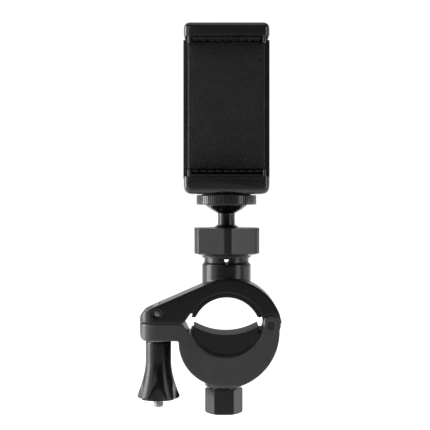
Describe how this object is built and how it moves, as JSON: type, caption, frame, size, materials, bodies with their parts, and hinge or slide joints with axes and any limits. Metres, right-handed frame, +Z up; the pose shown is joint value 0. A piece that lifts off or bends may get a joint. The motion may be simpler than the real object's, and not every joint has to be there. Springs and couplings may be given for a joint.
{
  "type": "handlebar phone mount",
  "caption": "Bicycle handlebar phone mount: hinged ring clamp with rubber pads and a swing bolt knob, a locking ball joint, and a spring loaded phone clip.",
  "frame": {"origin": "centre of the handlebar seat, on the axis of the upper half bore, midway across the clamp's width", "axes": "+Y along the handlebar, away from the side that the phone faces; +Z up through the ball joint and clip; +X towards the clamp's hinge"},
  "size_m": [0.0665, 0.0324, 0.1777],
  "materials": {
    "clamp_plastic": "fine moulded satin",
    "knob_plastic": "fine moulded satin",
    "nut_plastic": "satin",
    "ball_plastic": "semi gloss",
    "clip_gloss": "polished",
    "grip_rubber": "matt",
    "jaw_rubber": "matt",
    "washer_rubber": "matt",
    "grained_pad": "leather grain",
    "ring_nylon": "natural nylon",
    "bright_steel": "zinc plated",
    "black_steel": "blackened",
    "insert_brass": "machined"
  },
  "bodies": {
    "clamp_upper": {"clamp_upper_arm": "clamp_plastic", "upper_grip_pad": "grip_rubber", "bolt_pivot_pin": "bright_steel"},
    "clamp_lower": {"clamp_lower_arm": "clamp_plastic", "hinge_pin": "black_steel", "lower_grip_liner": "grip_rubber", "saddle_pad": "grip_rubber", "hex_post": "clamp_plastic", "post_thread_insert": "insert_brass"},
    "bolt": {"swing_bolt": "bright_steel"},
    "washer": {"knob_washer": "bright_steel"},
    "knob": {"knob": "knob_plastic", "knob_insert": "insert_brass"},
    "nut": {"lock_nut": "nut_plastic"},
    "ball_ring": {"ball_retainer_ring": "ring_nylon"},
    "ball": {"ball_stem": "ball_plastic", "mounting_stud": "bright_steel", "knurled_disc": "nut_plastic", "disc_washer": "washer_rubber"},
    "clip": {"clip_body": "clip_gloss", "clip_thread_insert": "insert_brass", "front_pad": "grained_pad", "lower_jaw_pad": "jaw_rubber", "clip_back_cover": "clip_gloss", "cover_screws": "black_steel", "body_spring_pins": "bright_steel", "spring_left": "bright_steel", "spring_right": "bright_steel"},
    "slider": {"clip_slider": "clip_gloss", "upper_jaw_pad": "jaw_rubber", "slider_spring_pins": "bright_steel"}
  },
  "joints": [
    {"name": "arm_open", "type": "hinge", "parent": "clamp_upper", "child": "clamp_lower", "pos_m": [0.02015, 0, 0.00293], "axis": [0, -1, 0], "range_deg": [0, 17]},
    {"name": "bolt_swing", "type": "hinge", "parent": "clamp_upper", "child": "bolt", "pos_m": [-0.0313, 0, 0.0081], "axis": [0, 1, 0], "range_deg": [0, 100]},
    {"name": "washer_travel", "type": "slide", "parent": "bolt", "child": "washer", "axis": [0, 0, -1], "range_m": [0, 0.016]},
    {"name": "knob_turn", "type": "hinge", "parent": "washer", "child": "knob", "pos_m": [-0.0313, 0, -0.0153], "axis": [0, 0, -1], "range_deg": [0, 7200]},
    {"name": "nut_turn", "type": "hinge", "parent": "clamp_upper", "child": "nut", "pos_m": [0, 0, 0.04], "axis": [0, 0, 1], "range_deg": [0, 180]},
    {"name": "ball_pan", "type": "hinge", "parent": "clamp_upper", "child": "ball_ring", "pos_m": [0, 0, 0.0405], "axis": [0, 0, 1], "continuous": true},
    {"name": "ball_tilt", "type": "hinge", "parent": "ball_ring", "child": "ball", "pos_m": [0, 0, 0.0405], "axis": [1, 0, 0], "range_deg": [-25, 25]},
    {"name": "clip_turn", "type": "hinge", "parent": "ball", "child": "clip", "pos_m": [0, 0, 0.062], "axis": [0, 0, 1], "range_deg": [-180, 180]},
    {"name": "jaw_slide", "type": "slide", "parent": "clip", "child": "slider", "axis": [0, 0, 1], "range_m": [0, 0.026], "stiffness_N_per_m": 350, "springref_m": -0.022, "deforming": ["spring_left", "spring_right"]}
  ],
  "couplings": [
    {"joint": "knob_turn", "follows": "washer_travel", "rad_per_m": 7854},
    {"joint": "arm_open", "follows": "washer_travel", "rad_per_m": 18.54}
  ]
}
